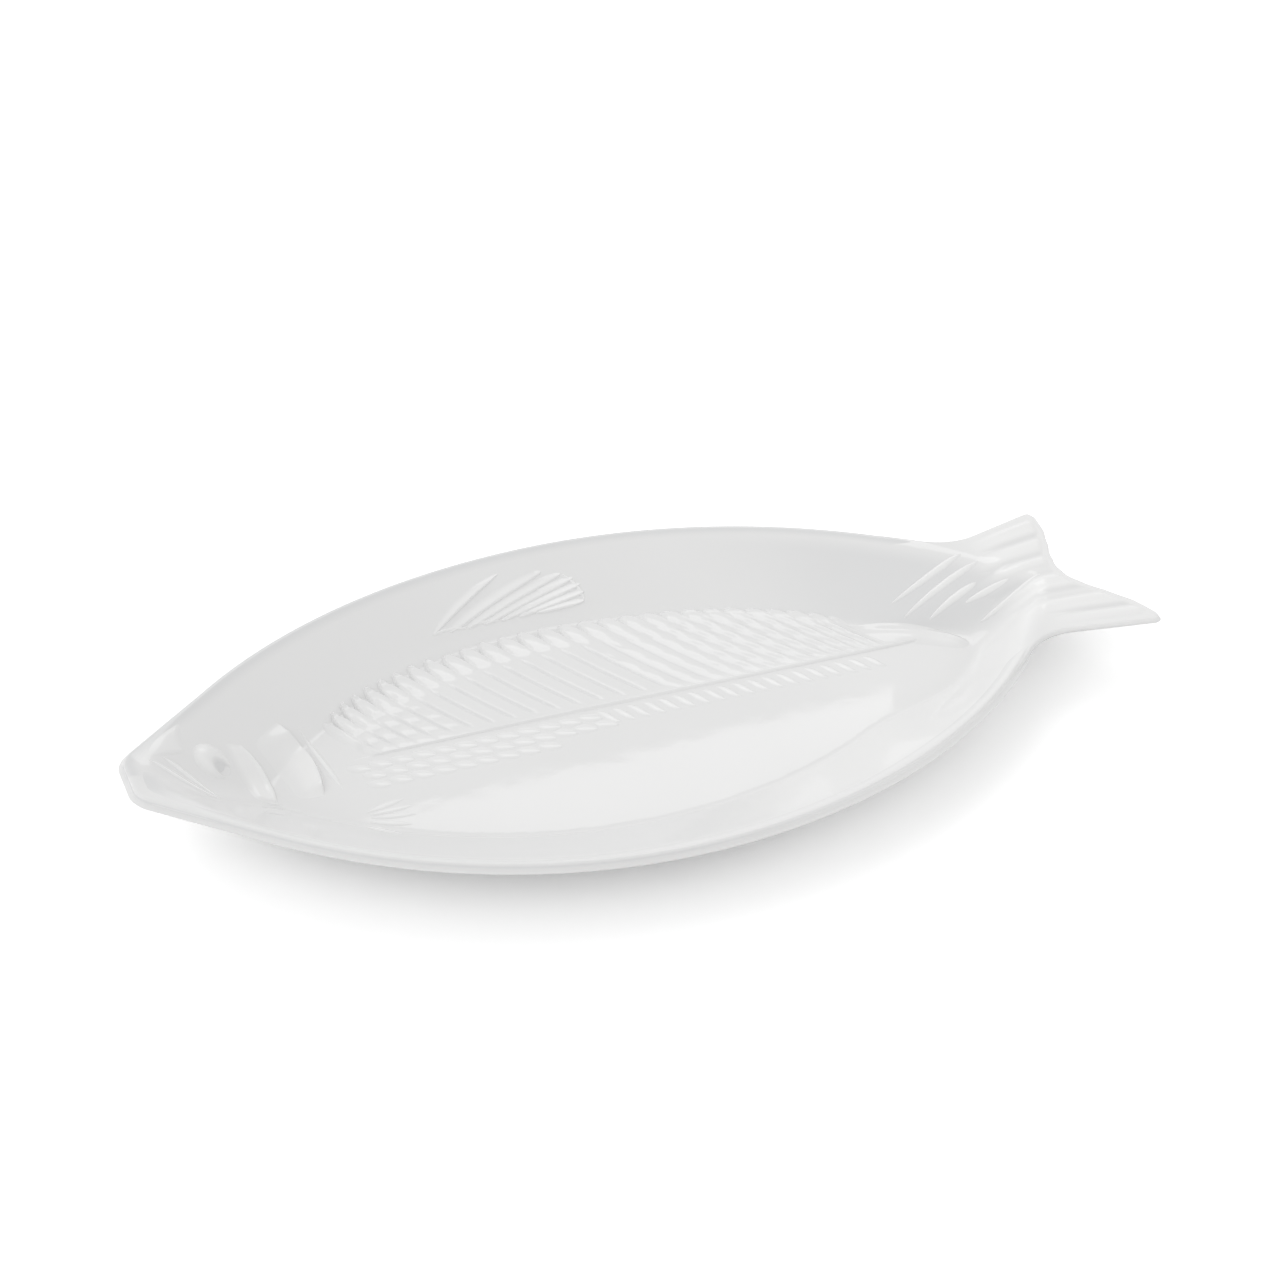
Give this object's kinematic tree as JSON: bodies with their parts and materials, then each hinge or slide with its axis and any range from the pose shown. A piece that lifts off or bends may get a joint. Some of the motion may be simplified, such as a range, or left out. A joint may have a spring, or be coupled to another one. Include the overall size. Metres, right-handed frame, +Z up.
{
  "type": "fish shaped platter",
  "caption": "Shallow oval serving platter shaped like a fish, with a rolled rim, a flared tail, a foot ring and a fish in low relief across its well.",
  "frame": {"origin": "middle of the bounding box in plan, on the plane that the foot ring stands on", "axes": "+X from the nose to the tail, +Y towards the back of the fish, +Z up out of the well"},
  "size_m": [0.404, 0.216, 0.0316],
  "materials": {
    "glaze": "glossy white glaze",
    "bare_clay": "unglazed, matte"
  },
  "bodies": {
    "root": {"dish_body": "glaze", "foot_ring": "bare_clay", "rim_roll": "glaze", "upper_jaw": "glaze", "lower_jaw": "glaze", "lips": "glaze", "eye": "glaze", "cheek_plate": "glaze", "gill_cover": "glaze", "gill_rib": "glaze", "throat_folds": "glaze", "body_ribs": "glaze", "lateral_line": "glaze", "belly_scales": "glaze", "dorsal_fin": "glaze", "pelvic_fin": "glaze", "tail_root": "glaze", "tail_rays": "glaze"}
  },
  "joints": []
}
